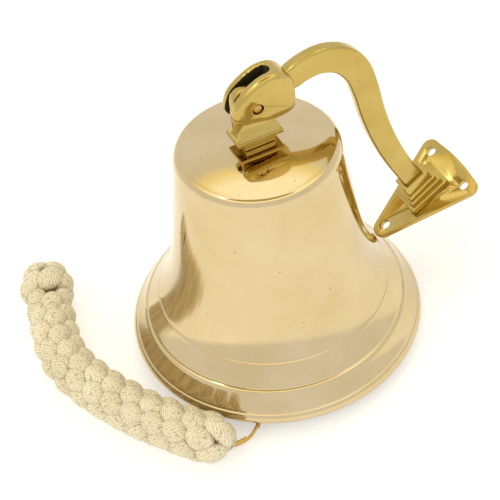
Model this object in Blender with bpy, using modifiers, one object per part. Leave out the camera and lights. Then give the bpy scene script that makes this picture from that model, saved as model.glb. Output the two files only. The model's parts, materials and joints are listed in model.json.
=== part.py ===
"""Ship bell of 178 mm mouth, standing on a table with its wall bracket folded down
against it and its cotton lanyard laid beside it. Metres, +Z up, +X towards the wall plate."""
import math

import bmesh
import bpy
from mathutils import Matrix, Vector

MM = 0.001
GAP = 0.3                    # clearance kept between touching pieces

# ---- bell ----
MOUTH_R = 89.2               # lip radius
BELL_H = 141.0               # height of the crown's flat above the rim
WAIST_TOP_R = 47.2           # waist radius under the shoulder
SHOULDER = 4.2               # how far the crown's edge lies inside the waist
SHOULDER_H = 9.0             # height of crown and shoulder together
CROWN_FALL = 3.6             # how far the crown falls from its flat to the shoulder
WAIST_FLARE = 0.143          # how much the waist opens for each unit of height
FLARE_START = 45.0           # how far below the shoulder the flare begins
FLARE_POWER = 3.1
WALL = 3.6                   # waist wall
CROWN_WALL = 5.0             # crown thickness
LIP_WALL = 4.2               # wall at the lip
BOW_WALL = 5.6               # thickest wall, where the clapper strikes
STEP_IN = 10.6               # upper step, in from the lip
STEP_Z = 19.7
BEAD_IN = 1.9                # step above the lip band, in from the lip
BEAD_Z = 7.8
STEP_OUT = 0.7               # how far each step stands out
BAND_DISH = 0.25             # hollow of the band between the steps
# inner wall below the waist: (height in upper-step heights, how much thinner than the bow)
BOW_LINE = ((0.75, 0.0), (1.2, 0.0), (1.7, 0.5), (2.3, 1.4))
RIM_IN = 2.6                 # circle that the rim stands on, in from the lip
BELL_STEPS = 60
FLARE_STEPS = 10

# ---- how it stands ----
EXIT_AZ = math.radians(-138.0)    # side on which the split ring comes out under the lip

# ---- split ring ----
RING_R = 20.0                # middle of the wire
RING_WIRE_R = 0.85
RING_PITCH = 2.0             # between its two turns
RING_LAP = 328.0             # degrees of each flat turn
RING_TURNED = 690.0          # degrees of wire in all
RING_STEP = 10.0
RING_BACK = 4.2              # its centre, in from the lip
RING_OUT_Z = 7.6             # height of the wire in the lanyard

# ---- fixing through the crown ----
STUD_R = 3.0
HOLE_R = STUD_R + GAP
SEAT_FLAT_R = 13.0           # flat on the crown for the seat
SEAT_X = 19.0
SEAT_Y = 13.0
SEAT_H = 4.2
FLANGE_X = 27.4
FLANGE_Y = 16.0
FLANGE_H = 2.6
BLOCK_FOOT = (26.0, 14.6)    # block between flange and lug, its sides slope in
BLOCK_TOP = (23.2, 6.8)
BLOCK_H = 4.8
LUG_T = 5.0                  # lug thickness along the pin
LUG_FOOT = (-12.4, 12.0)     # ends of the lug where it grows out of the block
LUG_FRONT = [(11.4, -14.1), (7.8, -10.5), (7.2, 0.0), (5.2, 6.0)]     # round the pin at (0, 0)
LUG_TOP = [(1.5, 9.6), (-3.0, 11.3), (-8.0, 10.8), (-11.2, 8.6), (-12.6, 3.0)]
STUD_IN = 5.4                # how far the stud screws into the yoke
WASHER_R = 8.0
WASHER_T = 1.2
NUT_AF = 10.0
NUT_T = 5.0
EYE_R = 6.2                  # eye of the eye bolt, middle of the wire
EYE_WIRE_R = 2.2
EYE_BELOW_NUT = 1.6

# ---- hinge ----
PIN_UP = 15.1                # pin axis above the yoke's block
PIN_R = 2.7
PIN_HOLE_R = PIN_R + 0.5
HEAD_W = 18.0                # head width along the pin
SLOT_W = LUG_T + 2.4
SLOT_END = 8.9               # centre of the slot's round end from the pin
SLOT_LEAN = math.radians(61.0)    # how far the slot's closed end is turned up from the wall side
SLOT_RUN = 40.0              # cutter that runs out through the open side

# ---- bracket, drawn as it hangs on a wall: plate upright, pin at (0, 0), X to the wall ----
REACH = 155.5                # wall plate's face from the pin
PAIR_UP = 53.3               # pair of screw holes above the pin
SINGLE_DOWN = 51.2           # single screw hole below the pair
ARM_DOWN = 19.4              # arm's centre below the pair
ARM_LINE = [(6.5, 23.4), (8.0, 32.2), (12.8, 42.1), (22.4, 49.8), (35.8, 52.2), (51.2, 49.1),
            (69.7, 43.2), (87.8, 38.7), (109.9, 35.3)]
ARM_T = 7.6                  # arm thickness along the pin
ARM_STEP = 5.0               # spacing of the points along its curve
ARM_START_W = 14.6
ARM_ARCH_W = 16.6
ARM_END_W = 13.2
TENON_R = 3.2
TENON_L = 8.0
HEAD_LINE = [(-4.6, -13.4), (-11.2, -6.6), (-13.0, 3.2), (-11.7, 13.9), (-6.7, 21.4), (1.3, 24.2),
             (11.2, 20.3), (18.1, 14.5), (16.2, 4.7), (8.4, -5.1), (1.1, -12.9)]
PLATE_T = 3.2
PLATE_HALF = 27.6            # half width at the pair's end
PLATE_BACK = 8.6             # plate edge beyond the pair of holes
PLATE_TIP = 8.7              # plate edge beyond the single hole
PLATE_TIP_R = 7.2
PLATE_CORNER_R = 6.0
PAIR_HALF = 18.3             # half the spacing of the pair of holes
SCREW_HOLE_R = 3.1
# collar's steps from the plate up: length, width, height
COLLAR_STEPS = ((29.0, 21.0, 3.8), (24.2, 17.0, 3.4), (21.2, 14.2, 3.6), (18.4, 11.8, 6.8))
STEP_SINK = 1.0              # how far a step reaches down into the one below it
ARM_STRAIGHT = 2.0           # straight end of the arm that shows above the collar
FIX_SCREW_R = 2.0
FIX_SCREW_L = 15.0
FIX_HEAD_R = 3.8
FIX_HEAD_H = 1.7

# ---- clapper ----
LOOP_R = 6.0                 # loop of the rod, middle of the wire
ROD_R = 2.3
BALL_R = 12.0
STRIKE_Z = 20.0              # height above the rim at which the ball strikes
COLLAR_R = 4.6
COLLAR_H = 5.0
HOOK_WIRE_R = 1.5
HOOK_STEM = 7.0              # hook's stem inside the rod

# ---- lanyard ----
ROPE_R = 14.4
ROPE_Z = ROPE_R + GAP        # height of its middle
EYE_SPLIT = 3                # route points that belong to the end round the ring
END_THIN = 0.62              # that end's radius at the ring, as a share of ROPE_R
END_GROW = 0.16              # gained at each point of its line
# its line from where the ring comes out under the lip
ROPE_ROUTE = [(-0.2, -20.7), (-6.1, -15.9), (-17.4, -5.1), (-29.1, 10.2), (-39.3, 24.7), (-48.7, 41.8),
              (-56.4, 58.1), (-62.6, 76.7), (-64.2, 95.9), (-61.0, 116.2), (-57.7, 130.7)]
KNOT_R = 16.6
KNOT_AT = (-53.9, 146.1)

SEGS = 24


def clean():
    for obj in list(bpy.data.objects):
        bpy.data.objects.remove(obj, do_unlink=True)


def collection(name):
    coll = bpy.data.collections.new(name)
    bpy.context.scene.collection.children.link(coll)
    return coll


clean()
PARTS = collection("ship_bell")
CUTTERS = collection("cutters")
MATERIALS = {}


def material(name, colour, rough, metal):
    if name not in MATERIALS:
        mat = bpy.data.materials.new(name)
        mat.use_nodes = True
        shader = mat.node_tree.nodes["Principled BSDF"]
        shader.inputs["Base Color"].default_value = (*colour, 1.0)
        shader.inputs["Roughness"].default_value = rough
        shader.inputs["Metallic"].default_value = metal
        MATERIALS[name] = mat
    return MATERIALS[name]


def finish(obj, parent, mat, coll=PARTS):
    for other in list(obj.users_collection):
        other.objects.unlink(obj)
    coll.objects.link(obj)
    if parent is not None:
        obj.parent = parent
    obj.data.materials.clear()
    if mat is not None:
        obj.data.materials.append(mat)
    return obj


def smooth(obj, angle=35.0):
    obj.data.shade_smooth()
    obj.data.set_sharp_from_angle(angle=math.radians(angle))
    return obj


def empty(name, parent, location, matrix=None):
    obj = bpy.data.objects.new(name, None)
    PARTS.objects.link(obj)
    obj.parent = parent
    if matrix is None:
        obj.location = Vector(location) * MM
    else:
        obj.matrix_local = Matrix.Translation(Vector(location) * MM) @ matrix
    return obj


def curve_points(points, per_span=6, closed=False):
    """Smooth curve through the given points, a centripetal Catmull-Rom spline."""
    pts = [Vector(p) for p in points]
    count = len(pts)
    spans = count if closed else count - 1
    out = []
    for i in range(spans):
        p1 = pts[i]
        p2 = pts[(i + 1) % count]
        p0 = pts[i - 1] if (i > 0 or closed) else p1 * 2 - p2
        p3 = pts[(i + 2) % count] if (i + 2 < count or closed) else p2 * 2 - p1
        k1 = math.sqrt((p1 - p0).length)
        k2 = k1 + math.sqrt((p2 - p1).length)
        k3 = k2 + math.sqrt((p3 - p2).length)
        for j in range(per_span):
            t = k1 + (k2 - k1) * j / per_span
            a1 = p0.lerp(p1, t / k1)
            a2 = p1.lerp(p2, (t - k1) / (k2 - k1))
            a3 = p2.lerp(p3, (t - k2) / (k3 - k2))
            b1 = a1.lerp(a2, t / k2)
            b2 = a2.lerp(a3, (t - k1) / (k3 - k1))
            out.append(b1.lerp(b2, (t - k1) / (k2 - k1)))
    if not closed:
        out.append(pts[-1])
    return out


def even(points, spacing):
    """The same line with its points at an even spacing."""
    total = sum((b - a).length for a, b in zip(points, points[1:]))
    count = max(1, round(total / spacing))
    out = [points[0]]
    done = 0.0
    for a, b in zip(points, points[1:]):
        run = (b - a).length
        while len(out) < count and done + run >= total * len(out) / count:
            out.append(a.lerp(b, (total * len(out) / count - done) / run))
        done += run
    out.append(points[-1])
    return out


def turned(name, profile, parent, mat, steps=SEGS, closed=True, coll=PARTS):
    """Solid of revolution about local Z from (radius, height) points, outer side first."""
    mesh = bpy.data.meshes.new(name)
    verts = [(r * MM, 0.0, z * MM) for r, z in profile]
    count = len(verts)
    edges = [(i, i + 1) for i in range(count - 1)]
    if closed:
        edges.append((count - 1, 0))
    mesh.from_pydata(verts, edges, [])
    obj = bpy.data.objects.new(name, mesh)
    screw = obj.modifiers.new("Screw", "SCREW")
    screw.steps = steps
    screw.render_steps = steps
    screw.use_merge_vertices = True
    screw.merge_threshold = 0.00001
    screw.use_smooth_shade = True
    return finish(obj, parent, mat, coll)


def cylinder(name, radius, length, centre, parent, mat, axis="Z", verts=SEGS, coll=PARTS):
    bpy.ops.mesh.primitive_cylinder_add(vertices=verts, radius=radius * MM, depth=length * MM)
    obj = bpy.context.object
    obj.name = name
    obj.data.name = name
    turn = {"Z": (0, 0, 0), "Y": (math.pi / 2, 0, 0), "X": (0, math.pi / 2, 0)}[axis]
    finish(obj, parent, mat, coll)
    obj.rotation_euler = turn
    obj.location = Vector(centre) * MM
    return smooth(obj)


def box(name, size, centre, parent, mat, bevel=0.0, coll=PARTS):
    bpy.ops.mesh.primitive_cube_add(size=1.0)
    obj = bpy.context.object
    obj.name = name
    obj.data.name = name
    obj.data.transform(Matrix.Diagonal((*[s * MM for s in size], 1.0)))
    finish(obj, parent, mat, coll)
    obj.location = Vector(centre) * MM
    if bevel:
        round_edges(obj, bevel)
    return obj


def round_edges(obj, width, segments=1):
    mod = obj.modifiers.new("Bevel", "BEVEL")
    mod.width = width * MM
    mod.segments = segments
    mod.limit_method = "ANGLE"
    mod.angle_limit = math.radians(40.0)
    return obj


def boolean(obj, other, operation):
    mod = obj.modifiers.new(other.name, "BOOLEAN")
    mod.operation = operation
    mod.solver = "EXACT"
    mod.object = other
    other.hide_render = True
    other.display_type = "WIRE"
    return obj


def cut(obj, *cutters):
    for cutter in cutters:
        boolean(obj, cutter, "DIFFERENCE")
    return obj


def join(obj, *others):
    for other in others:
        boolean(obj, other, "UNION")
    return obj


def to_mesh(obj, coll, parent, mat):
    """Curve to a welded mesh object in the same place."""
    bpy.context.view_layer.update()
    graph = bpy.context.evaluated_depsgraph_get()
    mesh = bpy.data.meshes.new_from_object(obj.evaluated_get(graph))
    work = bmesh.new()
    work.from_mesh(mesh)
    bmesh.ops.remove_doubles(work, verts=work.verts, dist=0.00002)
    bmesh.ops.recalc_face_normals(work, faces=work.faces)
    work.to_mesh(mesh)
    work.free()
    name = obj.name
    place = obj.matrix_local.copy()
    old = obj.data
    bpy.data.objects.remove(obj, do_unlink=True)
    bpy.data.curves.remove(old)
    mesh.name = name
    new = bpy.data.objects.new(name, mesh)
    finish(new, parent, mat, coll)
    new.matrix_local = place
    return new


def tube(name, points, radius, parent, mat, resolution=3, closed=False, coll=PARTS):
    curve = bpy.data.curves.new(name, "CURVE")
    curve.dimensions = "3D"
    curve.bevel_depth = radius * MM
    curve.bevel_resolution = resolution
    curve.use_fill_caps = not closed
    spline = curve.splines.new("POLY")
    spline.points.add(len(points) - 1)
    for slot, p in zip(spline.points, points):
        slot.co = (p[0] * MM, p[1] * MM, p[2] * MM, 1.0)
        slot.radius = 1.0
    spline.use_cyclic_u = closed
    obj = bpy.data.objects.new(name, curve)
    return finish(obj, parent, mat, coll)


def outline(name, points, thickness, parent, mat, coll=PARTS):
    """Flat outline in the XZ plane, given as (x, z), with its thickness along Y."""
    curve = bpy.data.curves.new(name, "CURVE")
    curve.dimensions = "2D"
    curve.fill_mode = "BOTH"
    curve.extrude = thickness * MM / 2
    spline = curve.splines.new("POLY")
    spline.points.add(len(points) - 1)
    for slot, p in zip(spline.points, points):
        slot.co = (p[0] * MM, p[1] * MM, 0.0, 1.0)
    spline.use_cyclic_u = True
    obj = bpy.data.objects.new(name, curve)
    finish(obj, parent, mat, coll)
    obj.rotation_euler = (math.pi / 2, 0, 0)
    return to_mesh(obj, coll, parent, mat)


def arc(cx, cz, radius, start, end, count):
    out = []
    for i in range(count + 1):
        a = math.radians(start + (end - start) * i / count)
        out.append((cx + radius * math.cos(a), cz + radius * math.sin(a)))
    return out


# ---------------------------------------------------------------- materials
BRASS = material("polished_brass", (0.80, 0.66, 0.42), 0.12, 1.0)
CAST = material("bracket_brass", (0.72, 0.55, 0.25), 0.2, 1.0)
PIN_BRASS = material("pin_brass", (0.74, 0.50, 0.20), 0.3, 1.0)
STEEL = material("plated_steel", (0.55, 0.55, 0.55), 0.3, 1.0)
CLAPPER = material("clapper_brass", (0.62, 0.47, 0.22), 0.3, 1.0)
WIRE = material("ring_brass", (0.72, 0.52, 0.20), 0.18, 1.0)
COTTON = material("cotton_rope", (0.76, 0.70, 0.55), 0.9, 0.0)

# ---------------------------------------------------------------- frames
STEP_R = MOUTH_R - STEP_IN
BEAD_R = MOUTH_R - BEAD_IN
RIM_R = MOUTH_R - RIM_IN
RING_MID = MOUTH_R - RING_BACK
RING_HALF = RING_PITCH / 2 + RING_WIRE_R         # half the height of its two turns
HOOK_R = RING_HALF + GAP + HOOK_WIRE_R           # hook's wire round the ring's wire
RING_IN_Z = HOOK_R + HOOK_WIRE_R + GAP           # the hook just clears the table
EXIT = Vector((math.cos(EXIT_AZ), math.sin(EXIT_AZ), 0.0))
LEVEL = EXIT.cross(Vector((0.0, 0.0, 1.0)))      # level, square to the exit direction
RING_SLOPE = math.atan2(RING_OUT_Z - RING_IN_Z, 2 * RING_R)
RING_AT_LIP = RING_IN_Z + (MOUTH_R - RING_MID + RING_R) * math.tan(RING_SLOPE)
LIFT = RING_AT_LIP + RING_HALF + 2 * GAP         # the near lip rides on the ring
TILT = math.asin(LIFT / (2 * RIM_R))

table = empty("table_frame", None, (0.0, 0.0, 0.0))
tilt_matrix = Matrix.Rotation(TILT, 4, LEVEL)
far_rim = -RIM_R * EXIT
bell_at = far_rim - tilt_matrix.to_3x3() @ far_rim
bell = empty("bell_frame", table, bell_at, tilt_matrix)

# ---------------------------------------------------------------- bell shell
SHOULDER_Z = BELL_H - SHOULDER_H
CROWN_R = WAIST_TOP_R - SHOULDER


def flare(height):
    """Outer radius of the waist and flare at a height, from the shoulder to the upper step."""
    fall = SHOULDER_Z - height
    straight = WAIST_TOP_R + WAIST_FLARE * fall
    at_step = WAIST_TOP_R + WAIST_FLARE * (SHOULDER_Z - STEP_Z)
    share = max(0.0, (fall - FLARE_START) / (SHOULDER_Z - STEP_Z - FLARE_START))
    return straight + (STEP_R - at_step) * share ** FLARE_POWER


def outer_radius(height):
    """Outer radius anywhere from the shoulder to the lip."""
    if height >= STEP_Z:
        return flare(height)
    if height >= BEAD_Z:
        share = (STEP_Z - height) / (STEP_Z - BEAD_Z)
        return STEP_R + STEP_OUT + (BEAD_R - STEP_R - STEP_OUT) * share
    return MOUTH_R


OUTER = [(HOLE_R, BELL_H), (SEAT_FLAT_R, BELL_H)]
dome = CROWN_R - SEAT_FLAT_R
for k in range(1, 4):
    OUTER.append((SEAT_FLAT_R + dome * k / 3, BELL_H - CROWN_FALL * (k / 3) ** 1.8))
turn_h = SHOULDER_H - CROWN_FALL
for k in range(1, 5):
    a = math.radians(22.5 * k)
    OUTER.append((CROWN_R + SHOULDER * math.sin(a), SHOULDER_Z + turn_h * math.cos(a)))
for k in range(1, FLARE_STEPS + 1):
    z = SHOULDER_Z + (STEP_Z - SHOULDER_Z) * k / FLARE_STEPS
    OUTER.append((flare(z), z))
OUTER.append((STEP_R + STEP_OUT, STEP_Z - 0.7))
for k in range(1, 3):
    z = STEP_Z + (BEAD_Z - STEP_Z) * k / 3
    OUTER.append((outer_radius(z) - BAND_DISH, z))
OUTER += [(BEAD_R, BEAD_Z), (BEAD_R + STEP_OUT, BEAD_Z - 0.6), (MOUTH_R - 0.3, BEAD_Z * 0.6)]
OUTER += [(MOUTH_R, BEAD_Z * 0.36), (MOUTH_R - 0.7, 0.9), (RIM_R, 0.0)]
INNER = [(MOUTH_R - LIP_WALL, 1.0), (MOUTH_R - LIP_WALL - 1.4, 4.6)]
for share, thinner in BOW_LINE:
    INNER.append((outer_radius(STEP_Z * share) - BOW_WALL + thinner, STEP_Z * share))
waist_low = STEP_Z * BOW_LINE[-1][0]
for k in range(1, 6):
    z = waist_low + (SHOULDER_Z - 4.0 - waist_low) * k / 5
    INNER.append((flare(z) - WALL, z))
inner_top = BELL_H - CROWN_WALL
INNER += [(WAIST_TOP_R - WALL - 1.2, SHOULDER_Z), (CROWN_R - WALL - 3.0, inner_top - 1.2)]
INNER += [(SEAT_FLAT_R + 6.0, inner_top), (HOLE_R, inner_top)]
turned("bell_shell", OUTER + INNER, bell, BRASS, steps=BELL_STEPS)

# ---------------------------------------------------------------- crown fixing
seat_z = BELL_H + GAP
seat = box("yoke_seat", (SEAT_X, SEAT_Y, SEAT_H), (0, 0, seat_z + SEAT_H / 2), bell, CAST, 0.7)
seat_bore = cylinder("seat_bore", HOLE_R, SEAT_H * 2, (0, 0, seat_z + SEAT_H / 2), bell, None,
                     coll=CUTTERS)
cut(seat, seat_bore)
flange_z = seat_z + SEAT_H + GAP
block_z = flange_z + FLANGE_H
PIN_H = block_z + BLOCK_H + PIN_UP
yoke = box("crown_yoke", (FLANGE_X, FLANGE_Y, FLANGE_H), (0, 0, flange_z + FLANGE_H / 2), bell, CAST, 0.5)
block = box("yoke_block", (*BLOCK_FOOT, BLOCK_H + 1.0), (0, 0, block_z + BLOCK_H / 2 - 0.5), bell,
            None, coll=CUTTERS)
for corner in block.data.vertices:
    if corner.co.z > 0.0:
        corner.co.x *= BLOCK_TOP[0] / BLOCK_FOOT[0]
        corner.co.y *= BLOCK_TOP[1] / BLOCK_FOOT[1]
lug_low = 1.0 - PIN_UP - BLOCK_H
lug_line = [(x, lug_low) for x in LUG_FOOT] + LUG_FRONT + LUG_TOP
lug = outline("yoke_lug", lug_line, LUG_T, bell, None, coll=CUTTERS)
lug.location = Vector((0, GAP - (SLOT_W - LUG_T) / 2, PIN_H)) * MM      # against the near cheek
round_edges(lug, 0.5)
join(yoke, block, lug)
stud_bore = cylinder("stud_bore", HOLE_R, STUD_IN + 1.0 + GAP,
                     (0, 0, flange_z + (STUD_IN + GAP - 1.0) / 2), bell, None, coll=CUTTERS)
lug_bore = cylinder("lug_bore", PIN_HOLE_R, HEAD_W * 2, (0, 0, PIN_H), bell, None, "Y", coll=CUTTERS)
cut(yoke, stud_bore, lug_bore)
cylinder("hinge_pin", PIN_R, HEAD_W - 0.8, (0, 0, PIN_H), bell, PIN_BRASS, "Y", 24)

washer_z = inner_top - GAP - WASHER_T
WASHER = [(HOLE_R, washer_z + WASHER_T), (WASHER_R, washer_z + WASHER_T), (WASHER_R, washer_z)]
WASHER += [(HOLE_R, washer_z)]
turned("crown_washer", WASHER, bell, STEEL)
nut_z = washer_z - GAP - NUT_T
nut = cylinder("crown_nut", NUT_AF / math.sqrt(3), NUT_T, (0, 0, nut_z + NUT_T / 2), bell, STEEL, verts=6)
nut_bore = cylinder("nut_bore", HOLE_R, NUT_T * 2, (0, 0, nut_z + NUT_T / 2), bell, None, coll=CUTTERS)
cut(nut, nut_bore)
stud_top = flange_z + STUD_IN
eye_top = nut_z - EYE_BELOW_NUT
eye_z = eye_top - EYE_R - EYE_WIRE_R
PIVOT_Z = eye_z - EYE_R                          # the clapper hangs in the bottom of the eye
stud_low = eye_top - 1.4
bolt = cylinder("eye_bolt", STUD_R, stud_top - stud_low, (0, 0, (stud_top + stud_low) / 2), bell, STEEL,
                verts=24)
bpy.ops.mesh.primitive_torus_add(major_radius=EYE_R * MM, minor_radius=EYE_WIRE_R * MM,
                                 major_segments=24, minor_segments=8)
eye = bpy.context.object
eye.name = "bolt_eye"
finish(eye, bell, None, coll=CUTTERS)
eye.matrix_local = (Matrix.Translation((0, 0, eye_z * MM)) @ Matrix.Rotation(EXIT_AZ, 4, "Z")
                    @ Matrix.Rotation(math.pi / 2, 4, "Y"))
join(bolt, eye)

# ---------------------------------------------------------------- bracket
# It hangs from the pin and leans back until the plate's tip meets the bell's flank.
tip_up = PAIR_UP - SINGLE_DOWN - PLATE_TIP


def leaned(x, z, angle):
    return x * math.cos(angle) + z * math.sin(angle), z * math.cos(angle) - x * math.sin(angle)


def tip_clearance(angle):
    worst = 1e9
    for x, z in ((REACH, tip_up), (REACH + PLATE_T, tip_up)):
        for back in (0.0, PLATE_TIP_R * 0.5):
            px, pz = leaned(x, z + back, angle)
            height = pz + PIN_H
            slope = (outer_radius(height - 1.0) - outer_radius(height + 1.0)) / 2.0
            worst = min(worst, (px - outer_radius(height)) / math.hypot(1.0, slope))
    return worst


LEAN = math.radians(20.0)
while tip_clearance(LEAN) > GAP and LEAN < math.radians(100.0):
    LEAN += math.radians(0.02)
pivot = empty("bracket_pivot", bell, (0.0, 0.0, PIN_H), Matrix.Rotation(LEAN, 4, "Y"))

head_line = curve_points([(x, z, 0.0) for x, z in HEAD_LINE], 2, True)
head = outline("fork_head", [(p.x, p.y) for p in head_line], HEAD_W, pivot, CAST)
slot_dir = Matrix.Rotation(-SLOT_LEAN, 4, "Y")
slot = box("slot_run", (SLOT_RUN, SLOT_W, SLOT_RUN * 1.5), (0, 0, 0), pivot, None, coll=CUTTERS)
slot.matrix_local = slot_dir @ Matrix.Translation(((SLOT_END - SLOT_RUN / 2) * MM, 0, 0))
slot_end = cylinder("slot_end", SLOT_W / 2, SLOT_RUN * 1.5, (0, 0, 0), pivot, None, coll=CUTTERS)
slot_end.matrix_local = slot_dir @ Matrix.Translation((SLOT_END * MM, 0, 0))
head_bore = cylinder("head_bore", PIN_HOLE_R, HEAD_W * 2, (0, 0, 0), pivot, None, "Y", coll=CUTTERS)
round_edges(head, 2.4, 2)

arm_up = PAIR_UP - ARM_DOWN
route = [(x, z, 0.0) for x, z in ARM_LINE]
collar_top = sum(rise for length, width, rise in COLLAR_STEPS)
straight = REACH - collar_top - ARM_STRAIGHT
route += [(straight, arm_up, 0.0), (REACH - GAP, arm_up, 0.0)]
span = 8
line = even(curve_points(route, span)[:-span - 1], ARM_STEP)
line += [Vector((straight + 1.0, arm_up, 0.0)), Vector((REACH - GAP, arm_up, 0.0))]
lengths = [0.0]
for a, b in zip(line, line[1:]):
    lengths.append(lengths[-1] + (b - a).length)


def arm_width(share):
    if share < 0.25:
        return ARM_START_W + (ARM_ARCH_W - ARM_START_W) * math.sin(share / 0.25 * math.pi / 2)
    return ARM_ARCH_W + (ARM_END_W - ARM_ARCH_W) * min(1.0, (share - 0.25) / 0.55)


above = []
below = []
for i, p in enumerate(line):
    ahead = line[min(i + 1, len(line) - 1)] - line[max(i - 1, 0)]
    ahead.normalize()
    if p.x > straight:
        ahead = Vector((1.0, 0.0, 0.0))
    side = Vector((-ahead.y, ahead.x, 0.0)) * arm_width(lengths[i] / lengths[-1]) / 2
    above.append(p + side)
    below.append(p - side)
arm = outline("bracket_arm", [(p.x, p.y) for p in above + below[::-1]], ARM_T, pivot, CAST)
start = line[0]
lead = (line[1] - line[0]).normalized()
along_arm = Matrix.Rotation(math.pi / 2 - math.atan2(lead.y, lead.x), 4, "Y")
tenon = cylinder("arm_tenon", TENON_R, TENON_L + 2.0, (0, 0, 0), pivot, None, coll=CUTTERS)
at = start + lead * (2.0 - TENON_L) / 2
tenon.matrix_local = Matrix.Translation((at.x * MM, 0, at.y * MM)) @ along_arm
mortise = cylinder("head_mortise", TENON_R + GAP, TENON_L + 8.0, (0, 0, 0), pivot, None, coll=CUTTERS)
at = start + lead * (8.0 - TENON_L - 2 * GAP) / 2
mortise.matrix_local = Matrix.Translation((at.x * MM, 0, at.y * MM)) @ along_arm
seam = box("head_seam", (ARM_T * 5, HEAD_W * 2, 20.0), (0, 0, 0), pivot, None, coll=CUTTERS)
at = start + lead * (10.0 - GAP)
seam.matrix_local = Matrix.Translation((at.x * MM, 0, at.y * MM)) @ along_arm
cut(head, slot, slot_end, head_bore, mortise, seam)
smooth(head, 30)
round_edges(arm, 1.3)
join(arm, tenon)

# frame on the plate's face: local X down the plate, local Z out of its face
face_out = Matrix.Rotation(-math.pi / 2, 4, "Y") @ Matrix.Rotation(math.pi, 4, "Z")
plate_frame = empty("plate_frame", pivot, (REACH, 0.0, PAIR_UP), face_out)
fix_bore = cylinder("fix_bore", FIX_SCREW_R + GAP, (FIX_SCREW_L - PLATE_T + 2 * GAP) * 2,
                    (ARM_DOWN, 0, 0), plate_frame, None, verts=24, coll=CUTTERS)
cut(arm, fix_bore)
smooth(arm, 30)

tip = SINGLE_DOWN + PLATE_TIP
run = tip - PLATE_TIP_R + PLATE_BACK - PLATE_CORNER_R
lean_side = math.degrees(math.atan2(PLATE_HALF - PLATE_CORNER_R, run))
half_side = arc(tip - PLATE_TIP_R, 0.0, PLATE_TIP_R, 0.0, 90.0 - lean_side, 4)
half_side += arc(PLATE_CORNER_R - PLATE_BACK + 1.6, PLATE_HALF - PLATE_CORNER_R, PLATE_CORNER_R,
                 90.0 - lean_side, 170.0, 5)
bow = [(0.45 - PLATE_BACK, PLATE_HALF * 0.42), (-PLATE_BACK, 0.0), (0.45 - PLATE_BACK, -PLATE_HALF * 0.42)]
plate_line = half_side + bow + [(x, -y) for x, y in half_side[::-1] if y > 0.01]
plate = outline("wall_plate", plate_line, PLATE_T, plate_frame, CAST)
plate.matrix_local = Matrix.Translation((0, 0, -PLATE_T / 2 * MM))
round_edges(plate, 0.7)
holes = [(0.0, PAIR_HALF, SCREW_HOLE_R), (0.0, -PAIR_HALF, SCREW_HOLE_R)]
holes += [(SINGLE_DOWN, 0.0, SCREW_HOLE_R), (ARM_DOWN, 0.0, FIX_SCREW_R + GAP)]
for index, (px, py, radius) in enumerate(holes):
    cut(plate, cylinder(f"wall_hole_{index}", radius, PLATE_T * 4, (px, py, -PLATE_T / 2), plate_frame,
                        None, verts=24, coll=CUTTERS))
sunk = FIX_HEAD_H + 2 * GAP
cut(plate, cylinder("plate_sink", FIX_HEAD_R + GAP, sunk * 2, (ARM_DOWN, 0, -PLATE_T), plate_frame,
                    None, verts=24, coll=CUTTERS))

length, width, rise = COLLAR_STEPS[0]
collar = box("arm_collar", (length, width, rise), (ARM_DOWN, 0, GAP + rise / 2), plate_frame, CAST)
step_top = GAP + rise
for index, (length, width, rise) in enumerate(COLLAR_STEPS[1:], 1):
    tall = rise + STEP_SINK
    step_top += rise
    join(collar, box(f"collar_step_{index}", (length, width, tall), (ARM_DOWN, 0, step_top - tall / 2),
                     plate_frame, None, coll=CUTTERS))
round_edges(collar, 0.5)
cut(collar, box("collar_way", (ARM_END_W + 2 * GAP, ARM_T + 2 * GAP, collar_top * 3), (ARM_DOWN, 0, 0),
                plate_frame, None, coll=CUTTERS))

head_low = -PLATE_T + GAP
SCREW = [(0.0, head_low + FIX_SCREW_L), (FIX_SCREW_R, head_low + FIX_SCREW_L)]
SCREW += [(FIX_SCREW_R, head_low + FIX_HEAD_H), (FIX_HEAD_R, head_low + FIX_HEAD_H)]
SCREW += [(FIX_HEAD_R, head_low), (0.0, head_low)]
screw = turned("arm_screw", SCREW, plate_frame, STEEL, steps=24, closed=False)
screw.location = (ARM_DOWN * MM, 0.0, 0.0)

# ---------------------------------------------------------------- clapper (hangs along local -Z)
hook_at = EXIT * (RING_MID - RING_R) + Vector((0.0, 0.0, RING_IN_Z))
eye_at = bell_at + tilt_matrix.to_3x3() @ Vector((0.0, 0.0, PIVOT_Z))
reach = hook_at - eye_at
out = reach.dot(EXIT)
far = math.hypot(out, reach.z)
HOOK_Z = math.sqrt(far * far - HOOK_R * HOOK_R)  # from the pivot down to the hook's middle
SWING_OUT = math.atan2(out, -reach.z) - math.asin(HOOK_R / far) - TILT
clapper = empty("clapper_pivot", bell, (0.0, 0.0, PIVOT_Z),
                Matrix.Rotation(EXIT_AZ, 4, "Z") @ Matrix.Rotation(-SWING_OUT, 4, "Y"))
loop_z = EYE_WIRE_R + ROD_R + GAP - LOOP_R
loop = [(LOOP_R * math.cos(a), 0.0, loop_z + LOOP_R * math.sin(a))
        for a in [math.radians(-50 + 14 * k) for k in range(0, 21)]]
low = loop_z - LOOP_R
bend = curve_points([(0, 0, low - 9), (0, 0, low - 5), (1.4, 0, low - 1.4), loop[0]], 3)
ROD_END = HOOK_Z - 2.0
rod_line = [(0, 0, -ROD_END), (0, 0, -ROD_END / 2)] + [tuple(p) for p in bend[:-1]] + loop
rod_tube = tube("clapper_rod", rod_line, ROD_R, clapper, CLAPPER, resolution=2)
rod = to_mesh(rod_tube, PARTS, clapper, CLAPPER)
socket = cylinder("rod_socket", HOOK_WIRE_R + 0.2, (HOOK_STEM + GAP) * 2, (0, 0, -ROD_END), clapper, None,
                  verts=16, coll=CUTTERS)
cut(rod, socket)
smooth(rod, 40)

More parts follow.
